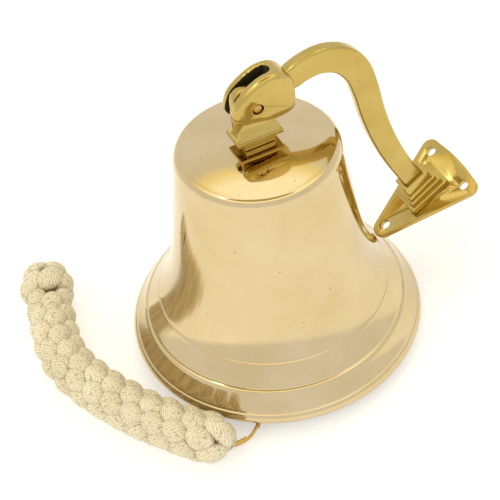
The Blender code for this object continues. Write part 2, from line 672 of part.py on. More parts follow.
BALL_AT = PIVOT_Z - STRIKE_Z
bore_r = ROD_R + GAP
side_a = math.asin(bore_r / BALL_R)
BALL = [(BALL_R * math.sin(a), BALL_R * math.cos(a) - BALL_AT)
        for a in [side_a + (math.pi - 2 * side_a) * k / 12 for k in range(13)]]
turned("clapper_ball", BALL, clapper, CLAPPER)
base = BALL_R * math.cos(side_a) - BALL_AT + GAP
COLLAR = [(bore_r, base + COLLAR_H), (COLLAR_R - 1.2, base + COLLAR_H), (COLLAR_R, base + COLLAR_H - 1.4)]
COLLAR += [(COLLAR_R, base + 1.2), (COLLAR_R - 0.8, base), (bore_r, base)]
turned("ball_collar", COLLAR, clapper, CLAPPER, steps=20)

hook = [(0.0, 0.0, HOOK_STEM - ROD_END), (0.0, 0.0, -ROD_END)]
hook += [(HOOK_R + HOOK_R * math.cos(a), 0.0, HOOK_R * math.sin(a) - HOOK_Z)
         for a in [math.radians(180 + 15 * k) for k in range(8)]]
tube("tail_hook", hook, HOOK_WIRE_R, clapper, STEEL, resolution=2)

# ---------------------------------------------------------------- split ring
ring_frame = empty("ring_frame", table, EXIT * RING_MID + Vector((0, 0, (RING_IN_Z + RING_OUT_Z) / 2)),
                   Matrix.Rotation(EXIT_AZ, 4, "Z") @ Matrix.Rotation(-RING_SLOPE, 4, "Y"))
coil = []
for k in range(int(RING_TURNED / RING_STEP)):
    angle = k * RING_STEP
    climb = min(1.0, max(0.0, (angle - RING_LAP) / (360.0 - RING_LAP)))
    climb = climb * climb * (3 - 2 * climb)
    a = math.radians(angle + 90.0)
    coil.append((RING_R * math.cos(a), RING_R * math.sin(a), RING_PITCH * (climb - 0.5)))
tube("split_ring", coil, RING_WIRE_R, ring_frame, WIRE, resolution=1)

# ---------------------------------------------------------------- lanyard
lip_out = EXIT * MOUTH_R
route = curve_points([(lip_out.x + x, lip_out.y + y, ROPE_Z) for x, y in ROPE_ROUTE], 2)
split = EYE_SPLIT * 2
end_line = curve_points([tuple(p) for p in route[:split + 1]], 2)
end_tube = tube("lanyard_eye", end_line, ROPE_R, table, COTTON, resolution=3)
for index, point in enumerate(end_tube.data.splines[0].points):
    point.radius = min(1.0, END_THIN + END_GROW * index)
lanyard_eye = to_mesh(end_tube, PARTS, table, COTTON)
bpy.ops.mesh.primitive_torus_add(major_radius=RING_R * MM, minor_radius=(RING_HALF + GAP) * MM,
                                 major_segments=40, minor_segments=10)
way = bpy.context.object
way.name = "ring_way"
finish(way, ring_frame, None, coll=CUTTERS)
cut(lanyard_eye, way)
smooth(lanyard_eye, 40)
run_on = [Vector(p) for p in route[split:]]
step = (run_on[1] - run_on[0]).normalized() * GAP
run_on[0] = run_on[0] + step
tube("lanyard_rope", run_on, ROPE_R, table, COTTON, resolution=3)

last = run_on[-1]
ahead = (last - run_on[-2]).normalized()
bpy.ops.mesh.primitive_uv_sphere_add(segments=20, ring_count=12, radius=KNOT_R * MM)
knot = bpy.context.object
knot.name = "lanyard_knot"
finish(knot, table, COTTON)
knot.location = (lip_out + Vector((KNOT_AT[0], KNOT_AT[1], KNOT_R + GAP))) * MM
face = box("knot_face", (KNOT_R * 2, KNOT_R * 2, KNOT_R * 2), (0, 0, 0), table, None, coll=CUTTERS)
at = last + ahead * (GAP - KNOT_R)
face.matrix_local = (Matrix.Translation(at * MM)
                     @ Matrix.Rotation(math.atan2(ahead.y, ahead.x), 4, "Z"))
cut(knot, face)
smooth(knot, 40)


def stand_on_origin():
    """Move the table frame so that the box round all but the lanyard stands over the origin."""
    bpy.context.view_layer.update()
    graph = bpy.context.evaluated_depsgraph_get()
    corners = []
    for obj in PARTS.objects:
        if obj.type == "EMPTY" or obj.name.startswith("lanyard"):
            continue
        shape = obj.evaluated_get(graph)
        corners += [obj.matrix_world @ v.co for v in shape.to_mesh().vertices]
        shape.to_mesh_clear()
    for axis in (0, 1):
        values = [c[axis] for c in corners]
        table.location[axis] -= (min(values) + max(values)) / 2


stand_on_origin()
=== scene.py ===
"""Looks of the ship bell: polished bell and bracket, braided cotton lanyard, on a pale floor."""
import json
import math

import bmesh
import bpy
import numpy as np
from mathutils import Matrix, Vector


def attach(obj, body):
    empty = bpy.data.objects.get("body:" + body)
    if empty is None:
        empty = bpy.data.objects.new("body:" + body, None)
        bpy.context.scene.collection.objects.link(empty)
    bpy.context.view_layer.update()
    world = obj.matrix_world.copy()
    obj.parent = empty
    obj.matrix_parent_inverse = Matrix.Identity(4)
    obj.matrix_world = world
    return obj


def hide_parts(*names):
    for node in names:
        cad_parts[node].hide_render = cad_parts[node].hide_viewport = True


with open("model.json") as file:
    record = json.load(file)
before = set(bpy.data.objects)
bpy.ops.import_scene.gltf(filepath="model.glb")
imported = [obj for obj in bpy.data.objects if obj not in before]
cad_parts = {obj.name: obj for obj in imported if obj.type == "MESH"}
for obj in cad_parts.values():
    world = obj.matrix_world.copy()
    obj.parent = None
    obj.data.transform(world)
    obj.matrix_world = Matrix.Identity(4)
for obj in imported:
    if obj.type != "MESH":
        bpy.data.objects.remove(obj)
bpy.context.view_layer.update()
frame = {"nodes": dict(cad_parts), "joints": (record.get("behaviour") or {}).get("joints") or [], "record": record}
MM = 0.001
GAP = 0.3                    # between a piece and its neighbour, in mm

# ---------------------------------------------------------------- frames read from the model
PIN_H = 168.3                # pin above the rim, in the bell's frame
joints = {j["name"]: j for j in frame["joints"]}
PIN = Vector(joints["bracket_hinge"]["pos_m"])
EYE = Vector(joints["clapper_swing"]["pos_m"])
UP = (PIN - EYE).normalized()
ALONG_PIN = -Vector(joints["bracket_hinge"]["axis"]).normalized()
AHEAD = ALONG_PIN.cross(UP).normalized()
BELL = Matrix((AHEAD, ALONG_PIN, UP)).transposed().to_4x4()
BELL.translation = PIN - UP * PIN_H * MM
wall_out = BELL.to_3x3().transposed() @ Vector(frame["record"]["mounts"][0]["axis"])
LEAN = math.atan2(-wall_out.z, wall_out.x)
BRACKET = BELL.copy()
BRACKET.translation = PIN
BRACKET = BRACKET @ Matrix.Rotation(LEAN, 4, "Y")
# point on the table that the lanyard's route is drawn from
TABLE = Vector((-22.93, -0.18, 0.0)) * MM

# ---------------------------------------------------------------- camera, at the photograph's angle
# place in mm and directions, in the bell's frame
CAM_AT = Vector((-203.32, -503.22, 605.31))
CAM_RIGHT = Vector((0.89133, -0.44294, -0.09666))
CAM_UP = Vector((0.37852, 0.60973, 0.69639))
LENS = 93.6


def add_camera():
    data = bpy.data.cameras.new("camera")
    data.lens = LENS
    data.sensor_width = 36.0
    cam = bpy.data.objects.new("camera", data)
    bpy.context.scene.collection.objects.link(cam)
    back = CAM_RIGHT.cross(CAM_UP)
    turn = Matrix((CAM_RIGHT, CAM_UP, back)).transposed().to_4x4()
    cam.matrix_world = BELL @ Matrix.Translation(CAM_AT * MM) @ turn
    bpy.context.scene.camera = cam


# ---------------------------------------------------------------- mesh helpers
def new_object(name, verts, faces, matrix=None):
    """Mesh from points in mm, placed by a matrix in metres, shaded smooth."""
    mesh = bpy.data.meshes.new(name)
    mesh.from_pydata([tuple(c * MM for c in v) for v in verts], [], faces)
    mesh.update()
    mesh.shade_smooth()
    obj = bpy.data.objects.new(name, mesh)
    bpy.context.scene.collection.objects.link(obj)
    if matrix is not None:
        obj.matrix_world = matrix
    return obj


def sharp(obj, degrees=35.0):
    """Shades edges that turn by more than an angle as hard ones."""
    obj.data.set_sharp_from_angle(angle=math.radians(degrees))
    return obj


def loft(loops, ring=False):
    """Skin over loops of points, with end faces, or joined end to start when ring is set."""
    count = len(loops[0])
    verts = [p for loop in loops for p in loop]
    faces = []
    spans = len(loops) if ring else len(loops) - 1
    for i in range(spans):
        a = i * count
        b = ((i + 1) % len(loops)) * count
        for j in range(count):
            k = (j + 1) % count
            faces.append((a + j, a + k, b + k, b + j))
    if not ring:
        faces.append(tuple(range(count))[::-1])
        faces.append(tuple(range((len(loops) - 1) * count, len(loops) * count)))
    return verts, faces


def outward(obj):
    """Turns all faces outwards."""
    work = bmesh.new()
    work.from_mesh(obj.data)
    bmesh.ops.recalc_face_normals(work, faces=work.faces)
    work.to_mesh(obj.data)
    work.free()
    return obj


def lathe(name, profile, matrix, steps=160, closed=True):
    """Solid of revolution about local Z from (radius, height) points."""
    loops = []
    for k in range(steps):
        a = 2 * math.pi * k / steps
        loops.append([(r * math.cos(a), r * math.sin(a), z) for r, z in profile])
    count = len(profile)
    verts = [p for loop in loops for p in loop]
    faces = []
    last = count if closed else count - 1
    for i in range(steps):
        a = i * count
        b = ((i + 1) % steps) * count
        for j in range(last):
            k = (j + 1) % count
            faces.append((a + j, b + j, b + k, a + k))
    obj = new_object(name, verts, faces, matrix)
    work = bmesh.new()
    work.from_mesh(obj.data)
    bmesh.ops.remove_doubles(work, verts=work.verts, dist=1e-6)
    bmesh.ops.dissolve_degenerate(work, dist=1e-7, edges=work.edges)
    bmesh.ops.recalc_face_normals(work, faces=work.faces)
    work.to_mesh(obj.data)
    work.free()
    obj.data.shade_smooth()
    return obj


def catmull(points, per_span, closed=False):
    """Centripetal Catmull-Rom curve through points."""
    pts = [Vector(p) for p in points]
    count = len(pts)
    spans = count if closed else count - 1
    out = []
    for i in range(spans):
        p1 = pts[i]
        p2 = pts[(i + 1) % count]
        p0 = pts[i - 1] if (i > 0 or closed) else p1 * 2 - p2
        p3 = pts[(i + 2) % count] if (i + 2 < count or closed) else p2 * 2 - p1
        k1 = math.sqrt((p1 - p0).length)
        k2 = k1 + math.sqrt((p2 - p1).length)
        k3 = k2 + math.sqrt((p3 - p2).length)
        for j in range(per_span):
            t = k1 + (k2 - k1) * j / per_span
            a1 = p0.lerp(p1, t / k1)
            a2 = p1.lerp(p2, (t - k1) / (k2 - k1))
            a3 = p2.lerp(p3, (t - k2) / (k3 - k2))
            b1 = a1.lerp(a2, t / k2)
            b2 = a2.lerp(a3, (t - k1) / (k3 - k1))
            out.append(b1.lerp(b2, (t - k1) / (k2 - k1)))
    if not closed:
        out.append(pts[-1])
    return out


def run_along(line):
    """Distance along a line at each of its points."""
    return np.concatenate([[0.0], np.cumsum(np.linalg.norm(np.diff(line, axis=0), axis=1))])


def unit(rows):
    return rows / np.linalg.norm(rows, axis=1)[:, None]


def evenly(points, spacing):
    """The same line with evenly spaced points."""
    pts = np.array([tuple(p) for p in points], float)
    run = run_along(pts)
    count = max(2, int(round(run[-1] / spacing)) + 1)
    at = np.linspace(0.0, run[-1], count)
    return np.stack([np.interp(at, run, pts[:, i]) for i in range(3)], 1)


def rounded_box(name, size, centre, radius, matrix, segments=3):
    """Box in mm with rounded edges."""
    obj = new_object(name, [], [], matrix)
    work = bmesh.new()
    bmesh.ops.create_cube(work, size=1.0)
    scale = Matrix.Diagonal((*[s * MM for s in size], 1.0))
    bmesh.ops.transform(work, matrix=Matrix.Translation(Vector(centre) * MM) @ scale, verts=work.verts)
    bmesh.ops.bevel(work, geom=work.edges, offset=radius * MM, segments=segments, profile=0.5,
                    affect="EDGES")
    work.to_mesh(obj.data)
    work.free()
    obj.data.shade_smooth()
    return sharp(obj, 50)


def cylinder(name, radius, length, matrix, steps=48):
    """Cylinder along local Z about the matrix's origin, in mm."""
    half = length / 2
    return lathe(name, [(0.0, half), (radius, half), (radius, -half), (0.0, -half)], matrix, steps, False)


def combine(obj, others, operation):
    """Boolean with each of the other objects, applied, and the others removed."""
    for other in others:
        mod = obj.modifiers.new(other.name, "BOOLEAN")
        mod.operation = operation
        mod.solver = "EXACT"
        mod.object = other
    apply_modifiers(obj)
    for other in others:
        bpy.data.objects.remove(other, do_unlink=True)
    return obj


def apply_modifiers(obj):
    """Makes the modifiers' result the object's own mesh."""
    bpy.context.view_layer.update()
    graph = bpy.context.evaluated_depsgraph_get()
    mesh = bpy.data.meshes.new_from_object(obj.evaluated_get(graph))
    obj.modifiers.clear()
    obj.data = mesh
    return obj


def soften(obj, width, segments=2, angle=35.0):
    """Rounds the edges sharper than an angle."""
    mod = obj.modifiers.new("Bevel", "BEVEL")
    mod.width = width * MM
    mod.segments = segments
    mod.limit_method = "ANGLE"
    mod.angle_limit = math.radians(angle)
    mod.harden_normals = True
    apply_modifiers(obj)
    obj.data.shade_smooth()
    return sharp(obj, 60)


def slab(name, points, thickness, radius, matrix, steps=5):
    """Flat outline (x, z) with its thickness along Y and its rims rounded by a radius."""
    pts = np.array([(p[0], p[1]) for p in points], float)
    area = 0.5 * np.sum(pts[:, 0] * np.roll(pts[:, 1], -1) - np.roll(pts[:, 0], -1) * pts[:, 1])
    if area < 0:
        pts = pts[::-1]
    before = pts - np.roll(pts, 1, axis=0)
    after = np.roll(pts, -1, axis=0) - pts
    along = unit(unit(before) + unit(after))
    inward = np.stack([-along[:, 1], along[:, 0]], 1)
    loops = []
    for side in (-1, 1):
        angles = [90.0 * k / steps for k in range(steps + 1)]
        if side > 0:
            angles = angles[::-1]
        for a in [math.radians(x) for x in angles]:
            inset = pts + inward * radius * (1 - math.sin(a))
            y = side * (thickness / 2 - radius * (1 - math.cos(a)))
            loops.append([(p[0], y, p[1]) for p in inset])
    verts, faces = loft(loops)
    return sharp(outward(new_object(name, verts, faces, matrix)), 50)


def paint(obj, mat):
    obj.data.materials.clear()
    obj.data.materials.append(mat)
    return obj


# ---------------------------------------------------------------- materials
def node_setter(owner):
    """A function that adds a node with its settings and inputs, and the tree's links."""
    tree = owner.node_tree
    links = tree.links

    def make(kind, settings=None, **inputs):
        node = tree.nodes.new(kind)
        for key, value in (settings or {}).items():
            setattr(node, key, value)
        for key, value in inputs.items():
            socket = node.inputs[int(key[1:])] if key[0] == "i" and key[1:].isdigit() else node.inputs[key]
            if isinstance(value, bpy.types.NodeSocket):
                links.new(value, socket)
            else:
                socket.default_value = value
        return node

    return make, links


def ramp(make, value, stops):
    """Colour ramp with (position, grey or colour) stops."""
    node = make("ShaderNodeValToRGB", None, Fac=value)
    bar = node.color_ramp
    while len(bar.elements) < len(stops):
        bar.elements.new(0.5)
    for element, (at, colour) in zip(bar.elements, stops):
        element.position = at
        element.color = (*colour, 1.0) if isinstance(colour, tuple) else (colour, colour, colour, 1.0)
    return node.outputs[0]


def brass(name, colour, deep, rough, rough_more, turned=0.0, pits=0.0, wave=0.0, grain=0.0, scale=1.0):
    """Polished or cast brass. deep is the tint in dull patches, turned the strength of lathe lines."""
    mat = bpy.data.materials.new(name)
    mat.use_nodes = True
    make, links = node_setter(mat)
    shader = mat.node_tree.nodes["Principled BSDF"]
    place = make("ShaderNodeTexCoord").outputs["Object"]
    cloud = make("ShaderNodeTexNoise", None, Vector=place, Scale=28.0 * scale, Detail=4.0, Roughness=0.55)
    fine = make("ShaderNodeTexNoise", None, Vector=place, Scale=900.0 * scale, Detail=3.0, Roughness=0.6)
    patch = ramp(make, cloud.outputs["Fac"], [(0.35, 0.0), (0.75, 1.0)])
    tint = make("ShaderNodeMix", {"data_type": "RGBA"}, Factor=patch)
    tint.inputs[6].default_value = (*colour, 1.0)
    tint.inputs[7].default_value = (*deep, 1.0)
    colour_out = tint.outputs[2]
    spots = make("ShaderNodeTexVoronoi", None, Vector=place, Scale=260.0 * scale, Randomness=1.0)
    spot_mask = ramp(make, spots.outputs["Distance"], [(0.05, 1.0), (0.13, 0.0)])
    rare = make("ShaderNodeTexNoise", None, Vector=place, Scale=70.0 * scale, Detail=1.0)
    rare_mask = ramp(make, rare.outputs["Fac"], [(0.66 - 0.1 * pits, 0.0), (0.7 - 0.1 * pits, 1.0)])
    both = make("ShaderNodeMath", {"operation": "MULTIPLY"}, i0=spot_mask, i1=rare_mask)
    if pits:
        dark = make("ShaderNodeMix", {"data_type": "RGBA"}, Factor=both.outputs[0])
        links.new(colour_out, dark.inputs[6])
        dark.inputs[7].default_value = (deep[0] * 0.35, deep[1] * 0.28, deep[2] * 0.2, 1.0)
        colour_out = dark.outputs[2]
    links.new(colour_out, shader.inputs["Base Color"])
    shader.inputs["Metallic"].default_value = 1.0
    gloss = make("ShaderNodeMapRange", None, Value=fine.outputs["Fac"])
    gloss.inputs["To Min"].default_value = rough
    gloss.inputs["To Max"].default_value = rough + rough_more
    links.new(gloss.outputs[0], shader.inputs["Roughness"])
    height = make("ShaderNodeBump", None, Height=both.outputs[0])
    height.invert = True
    height.inputs["Strength"].default_value = 0.6 if pits else 0.0
    height.inputs["Distance"].default_value = 0.0003
    normal = height.outputs[0]
    if wave:
        big = make("ShaderNodeTexNoise", None, Vector=place, Scale=18.0 * scale, Detail=2.0)
        bump = make("ShaderNodeBump", None, Height=big.outputs["Fac"], Normal=normal)
        bump.inputs["Strength"].default_value = wave
        bump.inputs["Distance"].default_value = 0.004
        normal = bump.outputs[0]
    if grain:
        bump = make("ShaderNodeBump", None, Height=fine.outputs["Fac"], Normal=normal)
        bump.inputs["Strength"].default_value = grain
        bump.inputs["Distance"].default_value = 0.0002
        normal = bump.outputs[0]
    if turned:
        parts = make("ShaderNodeSeparateXYZ", None, Vector=place)
        lines = make("ShaderNodeTexNoise", {"noise_dimensions": "1D"}, W=parts.outputs["Z"],
                     Scale=2600.0, Detail=2.0)
        bump = make("ShaderNodeBump", None, Height=lines.outputs["Fac"], Normal=normal)
        bump.inputs["Strength"].default_value = turned
        bump.inputs["Distance"].default_value = 0.00008
        normal = bump.outputs[0]
    links.new(normal, shader.inputs["Normal"])
    return mat


def plated(name, colour, rough):
    """Dull metal with fine blotches."""
    return brass(name, colour, tuple(c * 0.7 for c in colour), rough, 0.15, grain=0.3)


RIB_SPACING = 1.9            # ribs along a strand, mm
YARN_SPACING = 1.7           # yarns across it


def cotton(name):
    """Cream braided cord with painted shade in the weave's grooves and between the lobes. 'lay' holds mm along and
    across each lobe, 'depth' its height over the core.
    """
    mat = bpy.data.materials.new(name)
    mat.use_nodes = True
    make, links = node_setter(mat)
    shader = mat.node_tree.nodes["Principled BSDF"]
    lay = make("ShaderNodeAttribute", {"attribute_name": "lay"})
    parts = make("ShaderNodeSeparateXYZ", None, Vector=lay.outputs["Vector"])
    across = make("ShaderNodeMath", {"operation": "ABSOLUTE"}, i0=parts.outputs["Y"])
    slant = make("ShaderNodeMath", {"operation": "MULTIPLY_ADD"}, i0=across.outputs[0], i1=1.1,
                 i2=parts.outputs["X"])
    turn = make("ShaderNodeMath", {"operation": "MULTIPLY"}, i0=slant.outputs[0],
                i1=2 * math.pi / RIB_SPACING)
    rib = make("ShaderNodeMath", {"operation": "SINE"}, i0=turn.outputs[0])
    cross = make("ShaderNodeMath", {"operation": "MULTIPLY"}, i0=parts.outputs["Y"],
                 i1=2 * math.pi / YARN_SPACING)
    yarn = make("ShaderNodeMath", {"operation": "SINE"}, i0=cross.outputs[0])
    weave = make("ShaderNodeMath", {"operation": "MULTIPLY_ADD"}, i0=rib.outputs[0],
                 i1=yarn.outputs[0], i2=rib.outputs[0])
    place = make("ShaderNodeTexCoord").outputs["Object"]
    fuzz = make("ShaderNodeTexNoise", None, Vector=place, Scale=1500.0, Detail=3.0, Roughness=0.7)
    broad = make("ShaderNodeTexNoise", None, Vector=place, Scale=45.0, Detail=3.0)
    flecks = make("ShaderNodeTexNoise", None, Vector=place, Scale=620.0, Detail=2.0, Roughness=0.5)
    fleck = ramp(make, flecks.outputs["Fac"], [(0.36, 1.0), (0.43, 0.0)])
    tone = ramp(make, broad.outputs["Fac"], [(0.3, (0.80, 0.70, 0.48)), (0.7, (0.93, 0.84, 0.62))])
    # painted shade: the weave's low parts, its grooves, are mixed towards dark brown
    groove = ramp(make, weave.outputs[0], [(0.0, 1.0), (0.35, 0.0)])
    groove_shade_share = make("ShaderNodeMath", {"operation": "MULTIPLY"}, i0=groove, i1=0.35)
    groove_shade = make("ShaderNodeMix", {"data_type": "RGBA"}, Factor=groove_shade_share.outputs[0])
    links.new(tone, groove_shade.inputs[6])
    groove_shade.inputs[7].default_value = (0.42, 0.33, 0.18, 1.0)
    fleck_share = make("ShaderNodeMath", {"operation": "MULTIPLY"}, i0=fleck, i1=0.55)
    marks = make("ShaderNodeMix", {"data_type": "RGBA"}, Factor=fleck_share.outputs[0])
    links.new(groove_shade.outputs[2], marks.inputs[6])
    marks.inputs[7].default_value = (0.30, 0.22, 0.11, 1.0)
    # painted shade: where the surface lies low between the lobes the colour is multiplied darker, the lobes' tops
    # keep full colour
    depth = make("ShaderNodeAttribute", {"attribute_name": "depth"})
    shade = ramp(make, depth.outputs["Fac"], [(0.0, (0.34, 0.26, 0.15)), (0.55, (1.0, 1.0, 1.0))])
    final = make("ShaderNodeMix", {"data_type": "RGBA", "blend_type": "MULTIPLY"}, Factor=1.0)
    links.new(marks.outputs[2], final.inputs[6])
    links.new(shade, final.inputs[7])
    links.new(final.outputs[2], shader.inputs["Base Color"])
    shader.inputs["Roughness"].default_value = 0.9
    shader.inputs["Sheen Weight"].default_value = 0.25
    shader.inputs["Sheen Roughness"].default_value = 0.5
    bump = make("ShaderNodeBump", None, Height=weave.outputs[0])
    bump.inputs["Strength"].default_value = 0.55
    bump.inputs["Distance"].default_value = 0.0005
    hair = make("ShaderNodeBump", None, Height=fuzz.outputs["Fac"], Normal=bump.outputs[0])
    hair.inputs["Strength"].default_value = 0.5
    hair.inputs["Distance"].default_value = 0.0005
    links.new(hair.outputs[0], shader.inputs["Normal"])
    return mat


def plain_floor():
    mat = bpy.data.materials.new("floor")
    mat.use_nodes = True
    shader = mat.node_tree.nodes["Principled BSDF"]
    shader.inputs["Base Color"].default_value = (0.64, 0.64, 0.64, 1.0)
    shader.inputs["Roughness"].default_value = 0.8
    shader.inputs["Specular IOR Level"].default_value = 0.0
    shader.inputs["Emission Color"].default_value = (1.0, 1.0, 0.99, 1.0)
    shader.inputs["Emission Strength"].default_value = 0.45
    return mat


BELL_BRASS = brass("bell_brass", (0.66, 0.53, 0.33), (0.60, 0.47, 0.245), 0.045, 0.03,
                   turned=0.12, pits=0.25, wave=0.03)
CAST_BRASS = brass("cast_brass", (0.55, 0.41, 0.13), (0.47, 0.33, 0.085), 0.12, 0.08, pits=0.9,
                   wave=0.10, grain=0.06, scale=1.6)
PIN_BRASS = brass("pin_brass", (0.62, 0.40, 0.13), (0.40, 0.22, 0.06), 0.2, 0.15, grain=0.3, scale=3.0)
RING_BRASS = brass("ring_brass", (0.62, 0.42, 0.12), (0.45, 0.26, 0.06), 0.12, 0.1, grain=0.1, scale=3.0)
CLAPPER_BRASS = brass("clapper_brass", (0.58, 0.43, 0.19), (0.45, 0.31, 0.12), 0.22, 0.15, grain=0.3,
                      scale=2.0)
# painted shade: near-black brass for the slot's inner sides, darker than the cast brass round it
SLOT_PAINTED_SHADE = brass("slot_painted_shade", (0.10, 0.075, 0.04), (0.05, 0.035, 0.02), 0.5, 0.2, grain=0.5, scale=3.0)
STEEL = plated("plated_steel", (0.56, 0.56, 0.55), 0.28)
COTTON = cotton("cotton_rope")

# ---------------------------------------------------------------- lanyard
ROPE_R = 14.4
ROPE_Z = ROPE_R + GAP
LIP_OUT = (-66.29, -59.69)   # where the ring comes out under the lip
ROPE_ROUTE = [(-0.2, -20.7), (-6.1, -15.9), (-17.4, -5.1), (-29.1, 10.2), (-39.3, 24.7), (-48.7, 41.8),
              (-56.4, 58.1), (-62.6, 76.7), (-64.2, 95.9), (-61.0, 116.2), (-57.7, 130.7)]
KNOT_AT = (-53.9, 146.1)
KNOT_R = 16.6
KNOT_REACH = KNOT_R - 3.0    # from the knot's middle to the end of the centre line
KNOT_CORE_R = KNOT_R - 3.6
# the knot's lobes, a band of six, four over the end and one on the tip: tilt towards the tip, number,
# first one's angle, slant, (half length, half width, height)
KNOT_LOBES = ((-10.0, 6, 0.3, 60.0, (9.5, 6.8, 4.4)),
              (36.0, 4, 0.9, 55.0, (9.5, 7.0, 4.4)),
              (82.0, 1, 0.0, 20.0, (8.6, 6.6, 4.2)))
LOBE_PITCH = 14.2            # spacing of the lobes along the rope
LOBE_FROM = 5.0              # first lobe's place along the rope
LOBE_TURN = 0.2              # first column's angle round the rope
KNOT_CLEAR = 8.0             # the rope's lobes end this far before the knot's middle
LOBE_COLUMNS = 7
LOBE_SHIFT = 4.0 / 7.0       # share of a pitch from one column to the next
LOBE_LONG = 8.7              # half length, half width and height of a lobe
LOBE_WIDE = 6.1
LOBE_HIGH = 5.6
LOBE_SLANT = math.radians(14.0)
LOBE_RISE = 0.9              # how much further out a lobe's far end lies than its middle
CORE_R = 9.7                 # radius that the lobes stand on
START_RUN = 9.0              # length of the core's round start
AROUND = 150                 # points round the rope
TABLE_CLEAR = 0.35           # lowest height of the rope's surface
RING_IN_EYE = 8              # points of the line that lie beyond the ring


def rope_line():
    """Centre line from the split ring's end to the far side of the knot, mm."""
    route = [(x, y, ROPE_Z) for x, y in ROPE_ROUTE] + [(KNOT_AT[0], KNOT_AT[1], KNOT_R + GAP)]
    route = [(LIP_OUT[0] + x, LIP_OUT[1] + y, z) for x, y, z in route]
    ahead = (Vector(route[-1]) - Vector(route[-2])).normalized()
    route.append(tuple(Vector(route[-1]) + ahead * KNOT_REACH))
    return evenly(catmull(route, 12), 0.7)[RING_IN_EYE:]


def rope_core(run, knot_mid):
    """Core radius under the lobes: a round start, an even length and a ball in the knot."""
    start = np.clip(run / START_RUN, 0.0, 1.0)
    blunt = np.sqrt(np.clip(1.0 - (1.0 - start) ** 2, 0.0, 1.0)) * 0.9 + 0.1 * start
    inside = np.clip(1.0 - ((run - knot_mid) / KNOT_CORE_R) ** 2, 0.0, 1.0)
    knot = KNOT_CORE_R * np.sqrt(inside)
    core = np.where(run > knot_mid, knot, np.maximum(CORE_R * blunt, knot))
    return np.maximum(core, 0.05)


def rope_frame(rope, distance):
    """Middle of the rope at a distance along it, with its directions ahead, right and over, and radius."""
    line, run, ahead, right, over, core = rope
    i = int(np.clip(np.searchsorted(run, distance), 0, len(run) - 1))
    middle = np.array([np.interp(distance, run, line[:, k]) for k in range(3)])
    return middle, ahead[i], right[i], over[i], core[i]


def rope_lobes(rope, length, knot_mid):
    """The braid's lobes: (centre, long way, wide way, outward way, half length, half width, height)."""
    lobes = []
    for row in range(-1, int(length / LOBE_PITCH) + 3):
        for column in range(LOBE_COLUMNS):
            distance = row * LOBE_PITCH - column * LOBE_SHIFT * LOBE_PITCH % LOBE_PITCH + LOBE_FROM
            if not 1.0 < distance < knot_mid - KNOT_CLEAR:
                continue
            angle = 2 * math.pi * column / LOBE_COLUMNS + LOBE_TURN
            middle, ahead, right, over, radius = rope_frame(rope, distance)
            outwards = over * math.cos(angle) + right * math.sin(angle)
            side = -over * math.sin(angle) + right * math.cos(angle)
            long_way = ahead * math.cos(LOBE_SLANT) + side * math.sin(LOBE_SLANT)
            wide_way = -ahead * math.sin(LOBE_SLANT) + side * math.cos(LOBE_SLANT)
            lobes.append((middle + outwards * radius, long_way, wide_way, outwards,
                          LOBE_LONG, LOBE_WIDE, LOBE_HIGH))
    return lobes


def knot_lobes(rope, knot_mid):
    """The knot's larger lobes, in the same form."""
    middle, ahead, right, over = rope_frame(rope, knot_mid)[:4]
    lobes = []
    for tilt, number, first, slant, size in KNOT_LOBES:
        up = math.radians(tilt)
        twist = math.radians(slant)
        for k in range(number):
            angle = first + 2 * math.pi * k / number
            flat = over * math.cos(angle) + right * math.sin(angle)
            side = -over * math.sin(angle) + right * math.cos(angle)
            outwards = flat * math.cos(up) + ahead * math.sin(up)
            rise = ahead * math.cos(up) - flat * math.sin(up)
            lobes.append((middle + outwards * KNOT_CORE_R,
                          rise * math.cos(twist) + side * math.sin(twist),
                          side * math.cos(twist) - rise * math.sin(twist), outwards, *size))
    return lobes


def lobe_heights(surface, normal, lobes):
    """Height of the highest lobe over each point of the core, and the point's place on that lobe."""
    best = np.full(surface.shape[:2], -1.0)
    lay = np.zeros(surface.shape)
    for centre, long_way, wide_way, outwards, half_long, half_wide, high in lobes:
        away = surface - centre
        near = np.linalg.norm(away, axis=2) < half_long * 1.5
        u = away @ long_way
        v = away @ wide_way
        facing = normal @ outwards > 0.0
        q = (u / half_long) ** 2 + (v / half_wide) ** 2
        height = high * np.sqrt(np.clip(1.0 - q, 0.0, 1.0)) + LOBE_RISE * u / half_long
        height = np.where(near & facing & (q < 1.0), height, -1.0)
        win = height > best
        best = np.where(win, height, best)
        lay[win] = np.stack([u, v, np.zeros(u.shape)], 2)[win]
    return np.clip(best, 0.0, None), lay


